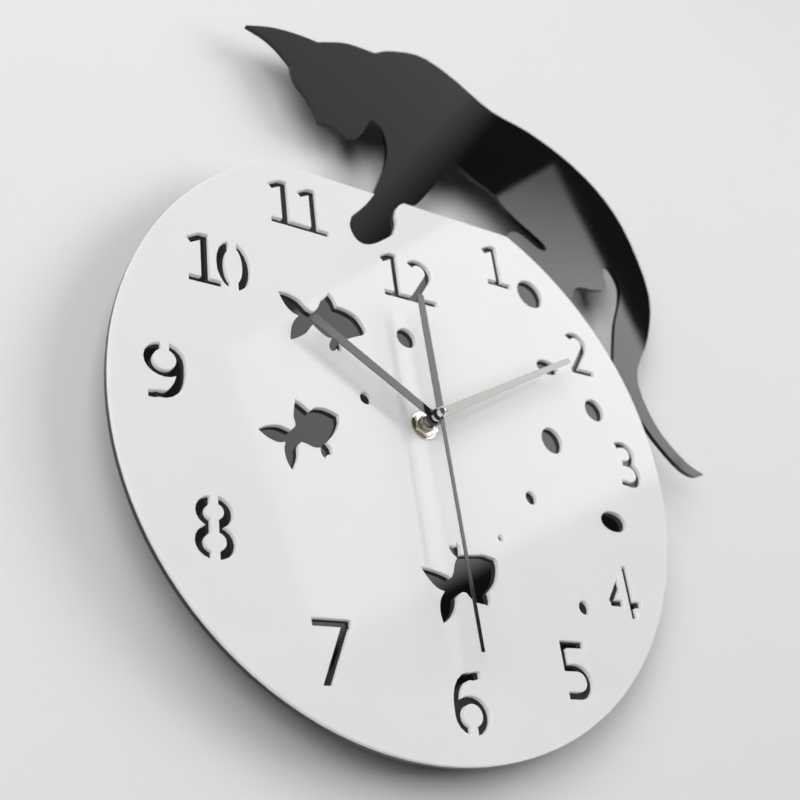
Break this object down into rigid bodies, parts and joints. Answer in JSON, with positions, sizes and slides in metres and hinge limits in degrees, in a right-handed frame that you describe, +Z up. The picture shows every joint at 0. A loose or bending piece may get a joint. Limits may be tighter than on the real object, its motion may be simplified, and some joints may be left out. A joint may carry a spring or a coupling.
{
  "type": "wall clock",
  "caption": "Wall clock cut from two acrylic sheets, a black cat leaning over a round white dial with cut-through numerals and fish, on a quartz movement.",
  "frame": {"origin": "on the spindle's axis, at the back face of the movement, which rests on the wall", "axes": "the dial faces -Y and the wall is the plane y = 0; +Z is up and +X is to the right as the dial is read"},
  "size_m": [0.339, 0.0402, 0.3974],
  "materials": {
    "black_acrylic": "polished black acrylic sheet",
    "white_acrylic": "polished white acrylic sheet",
    "black_plastic": "fine moulded texture",
    "white_plastic": "smooth moulded",
    "clear_white_plastic": "smooth moulded, slightly translucent",
    "yellow_plastic": "smooth moulded",
    "blue_plastic": "smooth moulded",
    "rubber": "matt",
    "brass": "bright turned",
    "nickel": "bright nickel plate over brass",
    "steel": "plain sheet",
    "chrome": "polished",
    "black_paint": "gloss black enamel on thin metal",
    "copper_wire": "enamelled winding",
    "board": "solder mask on laminate",
    "cell_sleeve": "plain printed sleeve on a steel can",
    "magnet": "sintered, dull"
  },
  "bodies": {
    "clock": {"cat_panel": "black_acrylic", "dial_plate": "white_acrylic", "movement_housing": "black_plastic", "movement_back_cover": "black_plastic", "gear_plate": "white_plastic", "threaded_bush": "nickel", "hanger": "steel", "rubber_washer": "rubber", "plate_washer": "nickel", "hex_nut": "nickel", "battery_contact_plus": "steel", "battery_contact_minus": "steel", "circuit_board": "board", "timing_chip": "black_plastic", "quartz_crystal": "steel", "stator": "steel", "coil_bobbin": "white_plastic", "coil_winding": "copper_wire"},
    "minute": {"centre_wheel": "clear_white_plastic", "minute_arbor": "brass", "minute_hand": "black_paint", "minute_hand_bush": "chrome"},
    "hour": {"hour_wheel": "white_plastic", "hour_hand": "black_paint", "hour_hand_bush": "black_paint"},
    "second": {"second_wheel": "blue_plastic", "second_hand": "black_paint", "second_hand_bush": "chrome", "second_hand_cap": "chrome"},
    "third": {"third_wheel": "clear_white_plastic"},
    "fifth": {"fifth_wheel": "yellow_plastic"},
    "rotor": {"rotor_pinion": "blue_plastic", "rotor_magnet": "magnet"},
    "intermediate": {"intermediate_wheel": "yellow_plastic"},
    "knob": {"set_knob": "white_plastic"},
    "cell": {"battery_cell": "cell_sleeve"}
  },
  "joints": [
    {"name": "minute_spin", "type": "hinge", "parent": "clock", "child": "minute", "pos_m": [0, -0.009, 0], "axis": [0, 1, 0], "continuous": true},
    {"name": "hour_spin", "type": "hinge", "parent": "clock", "child": "hour", "pos_m": [0, -0.0127, 0], "axis": [0, 1, 0], "continuous": true},
    {"name": "second_spin", "type": "hinge", "parent": "clock", "child": "second", "pos_m": [0, -0.0034, 0], "axis": [0, 1, 0], "continuous": true},
    {"name": "third_spin", "type": "hinge", "parent": "clock", "child": "third", "pos_m": [-0.00752, -0.0052, 0.00527], "axis": [0, 1, 0], "continuous": true},
    {"name": "fifth_spin", "type": "hinge", "parent": "clock", "child": "fifth", "pos_m": [0.00619, -0.0062, 0.00434], "axis": [0, 1, 0], "continuous": true},
    {"name": "rotor_spin", "type": "hinge", "parent": "clock", "child": "rotor", "pos_m": [0.01194, -0.0042, 0.00643], "axis": [0, 1, 0], "continuous": true},
    {"name": "intermediate_spin", "type": "hinge", "parent": "clock", "child": "intermediate", "pos_m": [0, -0.0102, 0.0072], "axis": [0, 1, 0], "continuous": true},
    {"name": "knob_spin", "type": "hinge", "parent": "clock", "child": "knob", "pos_m": [-0.00246, -0.005, 0.01397], "axis": [0, 1, 0], "continuous": true},
    {"name": "cell_slide", "type": "slide", "parent": "clock", "child": "cell", "axis": [0, 1, 0], "range_m": [0, 0.025]}
  ],
  "couplings": [
    {"joint": "hour_spin", "follows": "minute_spin", "ratio": 0.083333},
    {"joint": "second_spin", "follows": "minute_spin", "ratio": 60},
    {"joint": "third_spin", "follows": "minute_spin", "ratio": -8},
    {"joint": "fifth_spin", "follows": "minute_spin", "ratio": -360},
    {"joint": "rotor_spin", "follows": "minute_spin", "ratio": 1800},
    {"joint": "intermediate_spin", "follows": "minute_spin", "ratio": -0.33333},
    {"joint": "knob_spin", "follows": "minute_spin", "ratio": 1}
  ]
}
